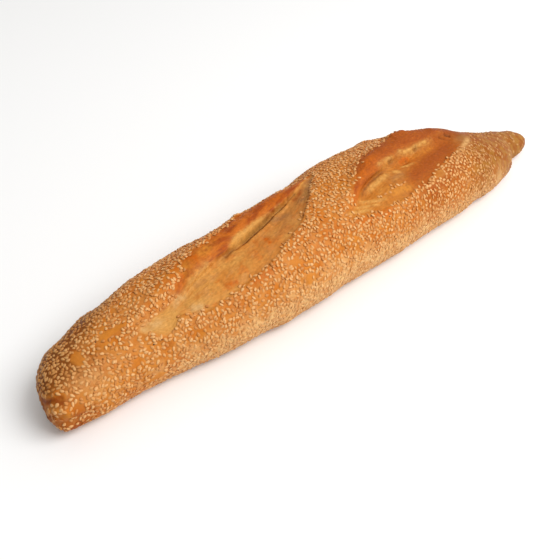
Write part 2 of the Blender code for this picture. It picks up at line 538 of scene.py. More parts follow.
def streaks(read, seed):
    """Long thin swellings from -1 to 1."""
    stretched = stretched_places(read) / (STREAK_LENGTH, STREAK_WIDTH)
    places = np.column_stack([stretched, np.full(len(points), 0.5 * seed)])
    return 0.7 * rumple(places, 1.0, seed) + 0.4 * rumple(places * (1.6, 2.3, 1), 1.0, seed + 1)


opening_masks = [ramp(-0.5, 0.7, read["inside"]) * read["crown"] for read in reads]
opening_masks[1] *= ramp(135, 122, points[:, 0] - 0.4 * points[:, 1])
for read, mask, seed in zip(reads, opening_masks, STREAK_SEEDS):
    rise += STREAK_DEPTH * streaks(read, seed) * mask
inside_any = np.clip(opening_masks[0] + opening_masks[1], 0, 1)
for height, size, seed in CRUMPLES:
    rise += height * rumple(points, size, seed) * inside_any
print("share of the skin that is new:", [round(float(mask.mean()), 3) for mask in opening_masks])

# %% [markdown]
# ## Strokes: folds, cracks and creases
# What noise can't place is laid one by one as strokes. A stroke is a short path with a width, like one pull
# of a modelling tool, and a bell-shaped profile raises or sinks the skin along it. The same function will
# mask the paint later on.

# %% Strokes
WANDER_SHARE = 0.22
TIP_STRENGTH = 0.3


def from_path(places, path):
    """How far each place is from a path in millimetres, and how far along the path its nearest point is."""
    corners = np.array(path, float) * MM
    places = places[:, : corners.shape[1]]
    best = np.full(len(places), np.inf)
    share = np.zeros(len(places))
    for number, (start, end) in enumerate(zip(corners, corners[1:])):
        run = end - start
        t = np.clip((places - start) @ run / (run @ run), 0, 1)
        gap = np.linalg.norm(places - start - t[:, None] * run, axis=1)
        nearer = gap < best
        best[nearer] = gap[nearer]
        share[nearer] = ((number + t) / (len(corners) - 1))[nearer]
    return best, share


crown = ease(CROWN_LOW, CROWN_HIGH, points[:, 2])
wander = rumple(points, 3 * MM, seed=31)


def stroke(width, path, tip=0.2):
    """A mask that is 1 along a path, fades over a width in mm, and tapers over a share at each tip."""
    gap, share = from_path(points, path)
    taper = ease(0, tip, share) * ease(1, 1 - tip, share)
    along = TIP_STRENGTH + (1 - TIP_STRENGTH) * taper
    facing = crown if len(path[0]) == 2 else 1
    return bell(gap + WANDER_SHARE * width * MM * wander, width * MM) * along * facing


# Paths in mm that more than one stroke follows. Those with two numbers a place are seen from above.
WALL_CRACKS = {
    "early": ((-93, 1.5), (-88, 2.6), (-84, 2.2)),
    "deep": ((-76, 2.7), (-66, 4.1), (-60, 5.8), (-53, 7.4), (-48, 8.5), (-42, 10.2), (-38, 11)),
    "late": ((-43, 10.3), (-36, 11.7), (-30, 12.7), (-25, 13.5), (-22, 14)),
    "last": ((-22, 14.5), (-17, 15.2), (-12, 16.5)),
    "second": ((17, -16.4), (23, -13.6), (31, -11.2), (37, -10), (43, -9.1), (48, -8.6)),
}
HOLE = ((119.5, -3), (122.5, -4.5), (125, -6.5))
RED_BLISTER = ((63, -8.4), (70, -7.9), (75, -9))
PALE_RIDGE = ((62, -11.6), (67, -13.4), (74, -13.4))
LIP_RIPPLES = (
    ((-2, -23), (5, -23.8), (11, -25.5), (17, -27.3)),
    ((11, -18.8), (18, -20.7), (24, -24.1), (32, -26.4)),
    ((6, -21.4), (12, -22.7), (19, -25.1), (26, -27.7)),
)
LIP_LOOP = ((81, -28.6), (85, -29.8), (85, -32.7), (81, -32.3), (76, -31.4))
BLUNT_FOLD = (
    (-219.5, 3, 22.3), (-219.3, -1.9, 24.2), (-218.4, -6.4, 26), (-216.1, -9.8, 28.2), (-213.3, -12, 29.7),
    (-210.9, -13.7, 28.3)
)
BLUNT_RIDGE = ((-220.7, -5.8, 20.2), (-219.7, -12, 23.6), (-217.5, -15.2, 24.9), (-214.8, -17, 25.1))
FOOT_WRINKLE = ((-215.7, -17.8, 23.1), (-213.1, -18.9, 21), (-210, -19.5, 19.6), (-206.4, -19.8, 19.4))

RELIEF = (
    # height in mm, width in mm, path in mm: first the folds of the second opening's wall
    (0.9, 1.3, ((43, -5.7), (49, -5.2), (57, -3.9), (62, -3.7))),
    (1.0, 1.6, ((66, -3.2), (70, -2.8), (74, -4.1), (81, -3.9), (89, -3.3), (96, -3.1), (104, -3))),
    (-0.8, 0.9, ((54, -6), (61, -6), (67, -5.2))),
    (0.5, 1.3, RED_BLISTER),
    (-0.9, 1.1, ((62, -10.3), (70, -10.4), (80, -7), (88, -6))),
    (0.4, 1.2, PALE_RIDGE),
    (-0.7, 0.9, ((80, -4.9), (83, -5.2), (87, -5.1))),
    (-1.5, 1.7, HOLE),
    (-0.7, 0.9, ((112, -4), (114, -4.6), (119, -7.5), (122, -9))),
    (-1.3, 1.0, WALL_CRACKS["second"]),
    (0.4, 1.1, LIP_RIPPLES[0]),
    (0.4, 1.1, LIP_RIPPLES[1]),
    (0.35, 0.9, LIP_RIPPLES[2]),
    # the ear's crest past the middle of the loaf
    (2.6, 4.0, ((74, 11), (79, 12), (86, 12), (91, 11))),
    (0.5, 5.0, ((108, 6), (114, 5), (121, 3.5), (128, 2), (133, 0))),
    # cracks under the first opening's wall
    (-0.6, 0.7, WALL_CRACKS["early"]),
    (-0.9, 0.7, ((-86, 0.5), (-80, 2.5), (-73, 2.8))),
    (-3.4, 1.15, WALL_CRACKS["deep"]),
    (-2.4, 0.9, WALL_CRACKS["late"]),
    (-1.2, 0.7, WALL_CRACKS["last"]),
    # the blunt end's dark fold and the wrinkles under it
    (-1.6, 2.0, BLUNT_FOLD),
    (0.8, 1.3, BLUNT_RIDGE + ((-212.1, -18.4, 24.1),)),
    (-0.9, 1.1, ((-221.5, -7, 18), (-219.5, -13, 20.5), (-216.5, -17, 21.5), (-211, -19, 21))),
    (0.6, 2.2, FOOT_WRINKLE),
    # the crease behind the nose
    (-1.3, 1.8, ((139, -25, 41), (141.6, -30, 37), (149, -33.4, 32), (160, -34, 25), (177, -32, 15))),
    (-0.6, 1.3, ((146, -20, 42), (158, -27, 34), (172, -30, 22))),
    (0.7, 1.0, LIP_LOOP),
)
for height, width, path in RELIEF:
    rise += height * MM * stroke(width, path)
print(len(RELIEF), "strokes of relief")

# %% [markdown]
# ## Blisters and bald patches
# The old skin isn't smooth between its seeds: it is rumpled by bubbles of a few millimetres. Where the dough
# stuck to nothing, the seeds are missing and the crust shows as a smooth, slightly swollen patch.

# %% Blisters and bald patches
BLISTERS = (
    # height, size, and the noise's own seed
    (0.35 * MM, 9 * MM, 41),
    (0.18 * MM, 3.4 * MM, 42),
)
BALD_SWELL = 0.3 * MM
BALD_FROM = 0.25
BALD_FULL = 0.6
SPOT_FULL = 0.85
SPOT_END = 1.35
SPOT_FRAY = 0.35
BALD_SPOTS = (
    # place in mm, then radius along and across in mm
    ((-193, 0.3, 37), 3.4, 6.0),
    ((-174, 2, 40), 4.6, 2.2),
    ((-168, 1.5, 41), 5.0, 2.0),
    ((-162, 0.4, 42), 4.0, 2.0),
    ((-82.5, -27.4, 43), 2.6, 2.2),
    ((-53.4, -29, 45), 4.0, 2.6),
    ((-50, -38.5, 34.5), 3.2, 3.0),
    ((-160, -24, 16), 7.0, 2.2),
    ((111, -43, 14), 2.2, 2.2),
    ((131, -5, 46), 12, 11),
    ((125, -14, 47), 8, 7),
    ((163, -30, 26), 6, 5),
)
BALD_STROKES = (
    # width in mm, path in mm
    (3.4, BLUNT_FOLD),
    (2.2, FOOT_WRINKLE + ((-204, -20.1, 19.3),)),
    (2.6, ((-221.5, -1, 20), (-221, -5, 20.5), (-220.5, -10, 20))),
    (2.0, LIP_LOOP[::-1]),
    (3.0, ((137, -14), (131, -17.8), (122, -21.1))),
)


def spot(centre, along, across):
    """A frayed oval mask round a place on the crust, with its radii in millimetres."""
    offset = (points - Vector(centre) * MM) / (along * MM, across * MM, across * MM)
    frayed = np.linalg.norm(offset, axis=1) + SPOT_FRAY * rumple(points, 4 * MM, 51)
    return ease(SPOT_END, SPOT_FULL, frayed)


old_skin = 1 - inside_any
bare = np.max([spot(*place) for place in BALD_SPOTS], axis=0)
for width, path in BALD_STROKES:
    bare = np.maximum(bare, ease(BALD_FROM, BALD_FULL, stroke(width, path, tip=0.05)))
bald = bare * old_skin
for height, size, seed in BLISTERS:
    rise += height * rumple(points, size, seed) * old_skin
rise += BALD_SWELL * bald
print("bald share of the skin:", round(float(bald.mean()), 4))

# %% Move the skin, keeping its foot and its tips
FOOT_HELD = 0.5 * MM
FOOT_FREE = 4 * MM

for tip in tips:
    rise *= ease(0, TIP_REACH, np.linalg.norm(points - tip, axis=1))
rise *= ease(FOOT_HELD, FOOT_FREE, points[:, 2])
points = points + normals * rise[:, None]
points[:, 2] = np.maximum(points[:, 2], 0)
for vertex, place in zip(skin.verts, points):
    vertex.co = place
skin.normal_update()
normals = np.array([vertex.normal for vertex in skin.verts])
print("skin box:", np.round(points.min(0) / MM, 1), np.round(points.max(0) / MM, 1), "mm")

# %% [markdown]
# ## Tints
# A loaf isn't painted with one brown. Thin new skin bakes pale and golden, skin that stood proud bakes
# orange and then brown, and shade keeps the valleys greyish. Each tint gets a mask from 0 to 1 on the
# vertices: broad areas from the opening's lines, and single touches from strokes. Masks stored as named
# attributes are cheap and exact, and stay with the mesh wherever it goes.
# One pale tan touch paints a highlight, and one grey touch a sheen, near the second opening's far end.
# The dark tint is painted shade in cracks, the hole and creases, and partly darker crust in the blunt fold.

# %% Touches of each tint
TOUCHES = {
    # strength, width in mm, path in mm
    "pale": (
        (0.9, 6, ((-153, -9), (-147, -11), (-141, -12.5), (-135, -10.5), (-131, -8))),
        (0.5, 4, ((-131, -8), (-122, -12), (-112, -14))),
        (0.6, 2.5, ((-120, -4), (-114, -2), (-106, -0.5), (-101, 0.5), (-96, 1.3))),
        (0.5, 3, ((-95, -2.2), (-89, -3.9), (-82, -4.6), (-76, -4.7))),
        (0.9, 2, ((-78, 4.6), (-72, 6.3), (-66, 7.3), (-59, 8.6), (-52, 9.6), (-45, 10.6), (-39, 11.5))),
        (0.8, 1, ((-34, 12.6), (-27, 13.5))),
        (0.4, 1.5, ((-49, -12.3), (-43, -11.6), (-36, -10.2), (-30, -7.5))),
        (0.4, 1.5, ((-4, 17.4), (-2, 12.5))),
        (0.4, 1.5, ((-12, 8.5), (-7, 11))),
        (0.8, 1.2, LIP_RIPPLES[0]),
        (0.7, 1.2, LIP_RIPPLES[1]),
        (0.7, 1.0, LIP_RIPPLES[2]),
        (0.8, 2, ((24, -14.9), (30, -14.1), (38, -12.6), (44, -12.3), (50, -11.1))),
        (0.8, 0.9, PALE_RIDGE),
        (0.7, 1.6, ((43, -6.2), (49, -5.7), (57, -4.7), (62, -4.5))),
        (0.75, 1.7, ((66, -4.2), (70, -3.8), (74, -5), (81, -5), (89, -4.6), (96, -4.4), (104, -4.2))),
        (0.7, 1.5, ((53, -11.8), (59, -14.4))),
        (0.3, 1.2, LIP_LOOP),
    ),
    # pale tan: flour, and one painted highlight near the second opening's far end
    "floury": (
        (0.8, 2.2, ((-128, -2.6), (-125, -4.5))),
        (0.8, 2.4, ((-125, -14), (-121, -16.5), (-117, -18))),
        (0.7, 3, ((-157, -8), (-152, -8.5), (-147, -9.5), (-141, -10))),
        (0.6, 2, ((-133, -7), (-127, -5), (-120, -4.5))),
        (0.3, 7, ((-203, -13, 31), (-197, -13, 32), (-190, -14, 32), (-183, -15, 32))),
        (0.35, 5, ((-202, -18, 26), (-196, -18, 27), (-189, -19, 26))),
        # painted highlight: a whitish streak along the second opening's lip near its far end
        (0.6, 2.0, ((137, -14), (131, -17.5), (124, -20.5), (113, -24.8), (104, -28))),
        (0.35, 1.5, ((-41, 9.4), (-37, 8.4))),
    ),
    "gold": (
        (0.45, 3, ((60, -8), (70, -7.5), (82, -8), (94, -8.5), (104, -8))),
        (0.8, 2.5, ((36, -25.8), (44, -26.2), (52, -28), (57, -29.7))),
        (0.7, 2.0, FOOT_WRINKLE),
        (0.6, 1.2, BLUNT_RIDGE),
        (0.6, 4, ((-121, 2), (-113, 6), (-104, 8), (-95, 9), (-87, 11))),
    ),
    "orange": (
        (0.6, 3, ((-101, -17.3), (-95, -17.1), (-90, -18))),
        (0.5, 1.5, ((-118, -10.6), (-115, -11.2))),
        (0.4, 2, ((-64, 0), (-60, -0.5))),
        (0.8, 2.5, ((-56, -1.3), (-56, -5.6), (-58, -10))),
        (0.8, 4, ((-106, 13.6), (-105, 8.9), (-101, 6.1))),
        (0.8, 3, ((-38, 21), (-22, 19))),
        (0.6, 2, ((-123, -0.2), (-119, 2.2), (-114, 4.4))),
        (0.3, 4, ((-72, -12), (-65, -10), (-57, -8.6), (-50, -8))),
        (1.0, 1.2, RED_BLISTER),
        (0.6, 4, ((20, -11), (27, -7), (34, -3), (42, 0), (50, 2))),
        (0.6, 3, ((-131, -1), (-122, 3), (-116, 10), (-113, 17))),
        (0.6, 3, ((-88, -26), (-76, -25.5), (-64, -25))),
        (0.5, 3, ((-48, -19), (-38, -15), (-28, -11))),
        (0.5, 3, ((-6, -27), (6, -31), (20, -33.5), (34, -34.5))),
    ),
    "brown": (
        (0.7, 2, ((-20, 11), (-13, 12.2), (-6, 15))),
        (0.8, 6, ((56, -22.5), (65, -23), (76, -22.2), (88, -20.8), (105, -16.4), (118, -13.7))),
        (0.9, 5, ((74, -19.2), (87, -18), (102, -15.1), (119, -10.4))),
        (0.9, 2.2, BLUNT_FOLD),
        (0.8, 2.5, ((-221.5, 1, 20), (-221, -3, 20), (-220.5, -8, 17))),
        (0.7, 6, ((58, 2), (75, 3.5), (90, 4), (105, 4), (122, 1))),
        (0.4, 5, ((24, -6), (32, -1), (42, 3))),
        (0.8, 9, ((22, -9), (34, -1), (50, 2), (75, 4), (100, 4), (122, 0))),
        (1.0, 10, ((118, 6), (126, 2), (134, -3), (140, -6), (136, -14))),
        (0.9, 7, ((-218, -10, 12), (-212, -16, 10), (-204, -20, 8))),
        (0.6, 6, ((-213, -17, 20), (-206, -20, 18), (-198, -22, 16))),
        (0.7, 2.5, ((-216, -10.5, 28), (-214, -13.5, 28.4), (-212, -15.5, 27.8))),
        (0.6, 8, ((50, -36.5), (66, -38), (84, -36), (104, -31), (120, -26))),
    ),
    "grey": (
        (0.5, 2, ((-115, -4), (-109, -4.2), (-104, -3.7))),
        (0.5, 4, ((44, -17), (52, -16.5), (60, -17))),
        (0.8, 3, ((-42, 10), (-38, 7.3), (-34, 5.4), (-28, 5.8))),
        (0.8, 3, ((-20, 7), (-14, 7.4), (-7, 11), (1, 16.6), (7, 20))),
        # painted sheen: a greyish gloss on the smooth crust round the far end of the second opening's lip
        (0.45, 5, ((140, -7), (135, -11), (130, -15), (123, -18))),
    ),
    # painted shade in cracks, the hole and creases; in the blunt end's fold, darker crust and painted shade
    "dark": (
        (0.4, 0.6, WALL_CRACKS["early"]),
        (0.7, 1.2, ((-88, 0.2), (-83, 1.6), (-78, 2.6), (-73, 2.8))),
        (0.9, 1.3, WALL_CRACKS["deep"]),
        (0.9, 0.7, WALL_CRACKS["late"]),
        (0.6, 0.6, WALL_CRACKS["last"]),
        (0.6, 0.9, WALL_CRACKS["second"]),
        (0.35, 0.8, ((54, -6), (61, -6))),
        (0.4, 0.8, ((82, -5), (87, -5.1))),
        (0.7, 1.4, HOLE),
        (0.2, 10, ((90, 15), (104, 11), (116, 6), (127, 1), (136, -5), (140, -12))),
        (0.5, 0.7, ((112, -4), (114, -4.6), (119, -7.5))),
        (0.35, 2.2, ((-218.5, -5, 26), (-216, -11, 28.4), (-213, -14.5, 28), (-210.5, -15.8, 27.6))),
        (0.5, 1.6, ((-219.5, 1, 22.8), (-219.3, -1.9, 24.2), (-218.4, -6.4, 26), (-216.1, -9.8, 28.2))),
    ),
}
MASKS = {}
for tint, touches in TOUCHES.items():
    MASKS[tint] = np.max([strength * stroke(width, path) for strength, width, path in touches], axis=0)
print({tint: len(touches) for tint, touches in TOUCHES.items()}, "touches")

# %% Broad areas
x, y, z = points.T


def waves(height, size, seed):
    """The same smooth noise, with its height and the size of its swellings in millimetres."""
    return height * MM * rumple(points, size * MM, seed)


ears = []
for read, mask in zip(reads, opening_masks):
    ears.append(mask * ramp(-1.2, 1.2, read["past_wall"] + waves(0.9, 3.5, 61)))
floors = [mask * (1 - ear) for mask, ear in zip(opening_masks, ears)]
past_valley = reads[0]["past_valley"]
far_half = ramp(46, 66, x - 0.5 * (y + 20 * MM) + waves(5, 9, 62))
# painted shade and bake: the blunt end and its far flank are laid darker and browner
shade_bake = ramp(-172, -204, x - 1.6 * np.maximum(y - 7 * MM, 0)) * ramp(-22, 2, y)
# the pale low side reaches higher in the middle of the loaf and less high under the second opening
middle_higher = 6 * MM * bell(x + 35 * MM, 45 * MM)
far_lower = 3 * MM * ramp(45, 85, x) * ramp(140, 115, x)
low_side = ramp(36, 14, z - (middle_higher - far_lower) + waves(4, 12, 63)) * ramp(10, -10, y)
nose_bake = ramp(84, 138, x + waves(8, 25, 65))
nose_bake *= 1 - 0.6 * low_side * ramp(172, 142, x)
MASKS |= {
    "new_skin": inside_any,
    "first_floor": floors[0],
    "blush": floors[0] * ramp(-95, -45, x) * ramp(-0.5, -3, past_valley),
    "second_floor": floors[1],
    "second_far": floors[1] * far_half,
    "ear": np.clip(ears[0] + ears[1], 0, 1),
    "torn_wall": floors[0] * ramp(-0.2, 0.8, past_valley) * ease(0.44, 0.52, reads[0]["along"]),
    "bald": bald,
    "low_side": low_side * ramp(-190, -100, x),
    "nose_bake": nose_bake,
    "shade_bake": shade_bake * (1 - 0.7 * bald),
    "underside": ramp(5, 1.2, z),
}
in_first = (opening_masks[0] > opening_masks[1])[:, None]
stretched = np.where(in_first, *[stretched_places(read) for read in reads])


def write_attribute(mesh, name, values):
    """Stores one number or one vector for each vertex under a name that shaders can read."""
    values = np.asarray(values, np.float32)
    kind = "FLOAT" if values.ndim == 1 else "FLOAT_VECTOR"
    layer = mesh.attributes.new(name, kind, "POINT")
    layer.data.foreach_set("value" if kind == "FLOAT" else "vector", values.ravel())


print("masks:", ", ".join(MASKS))

# %% [markdown]
# ## Shader groups
# Three effects return in the materials of this loaf: cloudy patches of two colours, a slight unevenness of
# one colour, and a fine baked grain that breaks up the light. Each is a node group with its own sockets, so
# that one node stands for the whole effect.

# %% Group helpers
def new_group(name, inputs, outputs):
    """An empty shader group with named sockets. inputs are (name, type, default)."""
    group = bpy.data.node_groups.new(name, "ShaderNodeTree")
    for label, kind, default in inputs:
        socket = group.interface.new_socket(label, in_out="INPUT", socket_type="NodeSocket" + kind)
        if default is not None:
            socket.default_value = default
    for label, kind in outputs:
        group.interface.new_socket(label, in_out="OUTPUT", socket_type="NodeSocket" + kind)
    return group, group.nodes.new("NodeGroupInput"), group.nodes.new("NodeGroupOutput")


def clouds_in(group, given, detail):
    """Noise inside a group, read at its Place and as coarse as its Size, with the scale it was read at."""
    scale = calc(group, "DIVIDE", 1.0, given.outputs["Size"])
    clouds = add(group, "ShaderNodeTexNoise", {"Detail": detail})
    join(group, (given.outputs["Place"], clouds.inputs["Vector"]), (scale, clouds.inputs["Scale"]))
    return clouds, scale


# %% Baked mottle
def make_mottle_group():
    """Two colours in cloudy patches. Size is a patch's width, and Share is how much is the second colour."""
    group, given, made = new_group(
        "baked_mottle",
        [
            ("Place", "Vector", None),
            ("Size", "Float", 0.01),
            ("Share", "Float", 0.5),
            ("Softness", "Float", 0.15),
            ("First", "Color", (1, 1, 1, 1)),
            ("Second", "Color", (0, 0, 0, 1)),
        ],
        [("Color", "Color"), ("Mask", "Float")],
    )
    clouds, _ = clouds_in(group, given, 3.0)
    clouds.inputs["Roughness"].default_value = 0.55
    middle = calc(group, "SUBTRACT", 1.0, given.outputs["Share"])
    mask = add(group, "ShaderNodeMapRange", interpolation_type="SMOOTHSTEP")
    mix = add(group, "ShaderNodeMix", data_type="RGBA")
    join(
        group,
        (clouds.outputs["Fac"], mask.inputs["Value"]),
        (calc(group, "SUBTRACT", middle, given.outputs["Softness"]), mask.inputs["From Min"]),
        (calc(group, "ADD", middle, given.outputs["Softness"]), mask.inputs["From Max"]),
        (mask.outputs["Result"], mix.inputs["Factor"]),
        (given.outputs["First"], mix.inputs["A"]),
        (given.outputs["Second"], mix.inputs["B"]),
        (mix.outputs["Result"], made.inputs["Color"]),
        (mask.outputs["Result"], made.inputs["Mask"]),
    )
    return group


MOTTLE = make_mottle_group()
print("group:", MOTTLE.name)


# %% Uneven bake
def make_uneven_group():
    """A colour made lighter and darker by noise. Strength 0.1 means a tenth either way."""
    group, given, made = new_group(
        "uneven_bake",
        [
            ("Color", "Color", (1, 1, 1, 1)),
            ("Place", "Vector", None),
            ("Size", "Float", 0.002),
            ("Strength", "Float", 0.1),
        ],
        [("Color", "Color")],
    )
    clouds, _ = clouds_in(group, given, 2.0)
    amount = add(group, "ShaderNodeMapRange", {"From Min": 0.3, "From Max": 0.7})
    scaled = add(group, "ShaderNodeVectorMath", operation="SCALE")
    join(
        group,
        (clouds.outputs["Fac"], amount.inputs["Value"]),
        (calc(group, "SUBTRACT", 1.0, given.outputs["Strength"]), amount.inputs["To Min"]),
        (calc(group, "ADD", 1.0, given.outputs["Strength"]), amount.inputs["To Max"]),
        (given.outputs["Color"], scaled.inputs[0]),
        (amount.outputs["Result"], scaled.inputs["Scale"]),
        (scaled.outputs[0], made.inputs["Color"]),
    )
    return group


UNEVEN = make_uneven_group()
print("group:", UNEVEN.name)


# %% Baked grain
PITS_PER_RIPPLE = 2.6
PIT_DEPTH = 0.45


def make_grain_group():
    """The height of a fine baked grain: tiny pits over a soft ripple. Size is the ripple's width."""
    group, given, made = new_group(
        "baked_grain", [("Place", "Vector", None), ("Size", "Float", 0.002)], [("Height", "Float")]
    )
    ripple, scale = clouds_in(group, given, 4.0)
    pits = add(group, "ShaderNodeTexVoronoi", feature="SMOOTH_F1")
    height = calc(group, "MULTIPLY_ADD", pits.outputs["Distance"], PIT_DEPTH, ripple.outputs["Fac"])
    join(
        group,
        (calc(group, "MULTIPLY", scale, PITS_PER_RIPPLE), pits.inputs["Scale"]),
        (given.outputs["Place"], pits.inputs["Vector"]),
        (height, made.inputs["Height"]),
    )
    return group


GRAIN = make_grain_group()
print("group:", GRAIN.name)

# %% [markdown]
# ## Crust material
# One material paints the whole crust. It starts as golden and orange mottle and is then mixed, mask by
# mask, with the colours of the torn floors, the wall, the browned ear and every tint. Mixing in a chain
# keeps it easy to read: each link says what is laid over what. Most masks are broken up by noise first, so
# that their tints don't end in a line.

# %% Crust material
GOLDEN_CRUST = colour(200, 122, 38)
ORANGE_CRUST = colour(192, 104, 22)
TAN_CRUST = colour(208, 142, 74)
SPOT_CRUST = colour(166, 84, 18)
FLOOR_PALE = colour(207, 146, 67)
FLOOR_TAN = colour(200, 138, 74)
FLOOR_GOLD = colour(192, 114, 30)
FLOOR_WARM = colour(196, 104, 26)
FLOOR_BLUSH = colour(184, 112, 48)
SECOND_GOLD = colour(182, 108, 30)
SECOND_BROWN = colour(168, 86, 10)
EAR_ORANGE = colour(188, 98, 20)
EAR_BROWN = colour(154, 68, 6)
SIDE_TAN = colour(224, 176, 114)
BASE_BROWN = colour(168, 104, 48)
BASE_PALE = colour(198, 142, 84)
NOSE_BROWN = colour(156, 102, 32)
NOSE_ORANGE = colour(144, 77, 10)
# painted shade, with some bake, for the blunt end and its far flank
PAINTED_SHADE_BROWN = colour(106, 54, 10)
CRUST_SHINE = 0.15
CRUST_ROUGHNESS = {"To Min": 0.55, "To Max": 0.68}
TINTS = {
    "gold": colour(196, 124, 40),
    "brown": colour(154, 73, 8),
    "orange": colour(186, 92, 6),
    "grey": colour(164, 108, 58),
    "pale": colour(202, 144, 70),
    # flour, and a painted highlight near the second opening's far end
    "floury": colour(206, 158, 98),
    # painted shade, and darker crust in the blunt end's fold
    "dark": colour(92, 42, 6),
}


class Paint:
    """A chain of colour mixes in one material. latest is what has been laid so far."""

    def __init__(self, material):
        self.tree = material.node_tree
        self.place = add(self.tree, "ShaderNodeTexCoord").outputs["Object"]
        self.latest = None

    def mask(self, name):
        """An attribute of the mesh, read as one number."""
        return add(self.tree, "ShaderNodeAttribute", attribute_name=name).outputs["Fac"]

    def mottle(self, first, second, size, share=0.5, softness=0.15, place=None):
        """A mottle group's node, with Color and Mask to take from."""
        values = {"Size": size, "Share": share, "Softness": softness, "First": first, "Second": second}
        node = add(self.tree, "ShaderNodeGroup", values, node_tree=MOTTLE)
        join(self.tree, (place or self.place, node.inputs["Place"]))
        return node

    def broken(self, mask, mottle):
        """A mask made patchy by a mottle, fully where the mask is strong and in specks where it's weak."""
        half = calc(self.tree, "MULTIPLY", mask, 0.5)
        return calc(self.tree, "MULTIPLY_ADD", mask, mottle.outputs["Mask"], half)

    def lay(self, layer, mask=None, strength=1.0):
        """Lays a colour, or a colour socket, over what is there, by a mask."""
        if self.latest is None:
            self.latest = layer
            return
        mix = add(self.tree, "ShaderNodeMix", data_type="RGBA")
        amount = calc(self.tree, "MULTIPLY", mask, strength, clamp=True)
        join(self.tree, (amount, mix.inputs["Factor"]), (self.latest, mix.inputs["A"]))
        if isinstance(layer, tuple):
            mix.inputs["B"].default_value = layer
        else:
            join(self.tree, (layer, mix.inputs["B"]))
        self.latest = mix.outputs["Result"]

    def cover(self, name, first, second, size, strength=1.0, **how):
        """Lays a mottle of two colours over a mask's area."""
        self.lay(self.mottle(first, second, size, **how).outputs["Color"], self.mask(name), strength)

    def uneven(self, size, strength, place=None, mask=None):
        """Makes what is there lighter and darker in turns, where the mask lets it."""
        node = add(self.tree, "ShaderNodeGroup", {"Size": size, "Strength": strength}, node_tree=UNEVEN)
        join(self.tree, (self.latest, node.inputs["Color"]), (place or self.place, node.inputs["Place"]))
        if mask is not None:
            join(self.tree, (calc(self.tree, "MULTIPLY", mask, strength), node.inputs["Strength"]))
        self.latest = node.outputs["Color"]


LONG_STREAKS = 0.3
SHORT_STREAKS = 0.55
FINE_STREAKS = 0.35


def streak_place(paint, squeeze_along):
    """The stretched coordinates of an opening, squeezed so that noise in them comes out as streaks."""
    stretched = add(paint.tree, "ShaderNodeAttribute", attribute_name="stretched")
    squeeze = add(paint.tree, "ShaderNodeMapping", {"Scale": (squeeze_along, 1.0, 1.0)}, vector_type="POINT")
    join(paint.tree, (stretched.outputs["Vector"], squeeze.inputs["Vector"]))
    return squeeze.outputs["Vector"]


def paint_old_skin(paint):
    """The seeded crust: golden and orange, tan where flour stayed, browner at the nose, pale low down, and
    browner and darker at the blunt end, partly bake and partly painted shade.
    """
    paint.lay(paint.mottle(GOLDEN_CRUST, ORANGE_CRUST, 13 * MM, softness=0.2).outputs["Color"])
    floury = paint.mottle(GOLDEN_CRUST, TAN_CRUST, 8 * MM, share=0.48, softness=0.12)
    paint.lay(TAN_CRUST, floury.outputs["Mask"], 0.5)
    spots = paint.mottle(GOLDEN_CRUST, SPOT_CRUST, 3.5 * MM, share=0.40, softness=0.12)
    paint.lay(SPOT_CRUST, spots.outputs["Mask"], 0.3)
    paint.lay(SIDE_TAN, paint.broken(paint.mask("low_side"), floury), 0.95)
    paint.lay(GOLDEN_CRUST, paint.mask("bald"), 0.8)
    paint.cover("nose_bake", NOSE_BROWN, NOSE_ORANGE, 7 * MM, 0.95, softness=0.08)
    # painted shade, with some bake, darkens the blunt end and its far flank
    paint.lay(PAINTED_SHADE_BROWN, paint.mask("shade_bake"), 0.85)
    return spots


def paint_openings(paint):
    """The floors, the torn wall and the ears."""
    streaky = streak_place(paint, LONG_STREAKS)
    shorter = streak_place(paint, SHORT_STREAKS)
    paint.cover("first_floor", FLOOR_PALE, FLOOR_GOLD, 6 * MM, softness=0.2, place=streaky)
    tan = paint.mottle(FLOOR_PALE, FLOOR_TAN, 3.5 * MM, share=0.42, softness=0.08, place=streaky)
    paint.lay(FLOOR_TAN, paint.broken(paint.mask("first_floor"), tan), 0.5)
    warm = paint.mottle(FLOOR_GOLD, FLOOR_WARM, 4 * MM, share=0.40, softness=0.07, place=shorter)
    warm_floor = calc(paint.tree, "MULTIPLY", warm.outputs["Mask"], paint.mask("first_floor"))
    paint.lay(FLOOR_WARM, warm_floor, 0.55)
    blush = paint.mottle(FLOOR_GOLD, EAR_ORANGE, 4.5 * MM, share=0.36, softness=0.14, place=streaky)
    paint.lay(FLOOR_BLUSH, paint.broken(paint.mask("blush"), blush), 0.8)
    paint.cover("second_floor", FLOOR_PALE, SECOND_GOLD, 5 * MM, share=0.6, softness=0.2, place=streaky)
    paint.cover("second_far", SECOND_BROWN, SECOND_GOLD, 7 * MM, share=0.35, place=streaky)
    paint.cover("torn_wall", FLOOR_PALE, FLOOR_GOLD, 2 * MM, share=0.35, place=streaky)
    paint.cover("ear", EAR_ORANGE, EAR_BROWN, 5 * MM, share=0.48, softness=0.1, place=streaky)


def paint_tints(paint):
    """The single touches, each patchy at its edges but the dark painted shade, which is laid whole."""
    patches = paint.mottle(GOLDEN_CRUST, ORANGE_CRUST, 2.6 * MM, share=0.55, softness=0.2)
    for name, tint in TINTS.items():
        mask = paint.mask(name)
        paint.lay(tint, mask if name == "dark" else paint.broken(mask, patches))


def grainy(paint, shader, size, strength, depth):
    """Finishes a material: the paint as its colour, and the baked grain as its bumps."""
    grain = add(paint.tree, "ShaderNodeGroup", {"Size": size}, node_tree=GRAIN)
    bump = add(paint.tree, "ShaderNodeBump", {"Strength": strength, "Distance": depth})
    join(
        paint.tree,
        (paint.place, grain.inputs["Place"]),
        (grain.outputs["Height"], bump.inputs["Height"]),
        (bump.outputs["Normal"], shader.inputs["Normal"]),
        (paint.latest, shader.inputs["Base Color"]),
    )


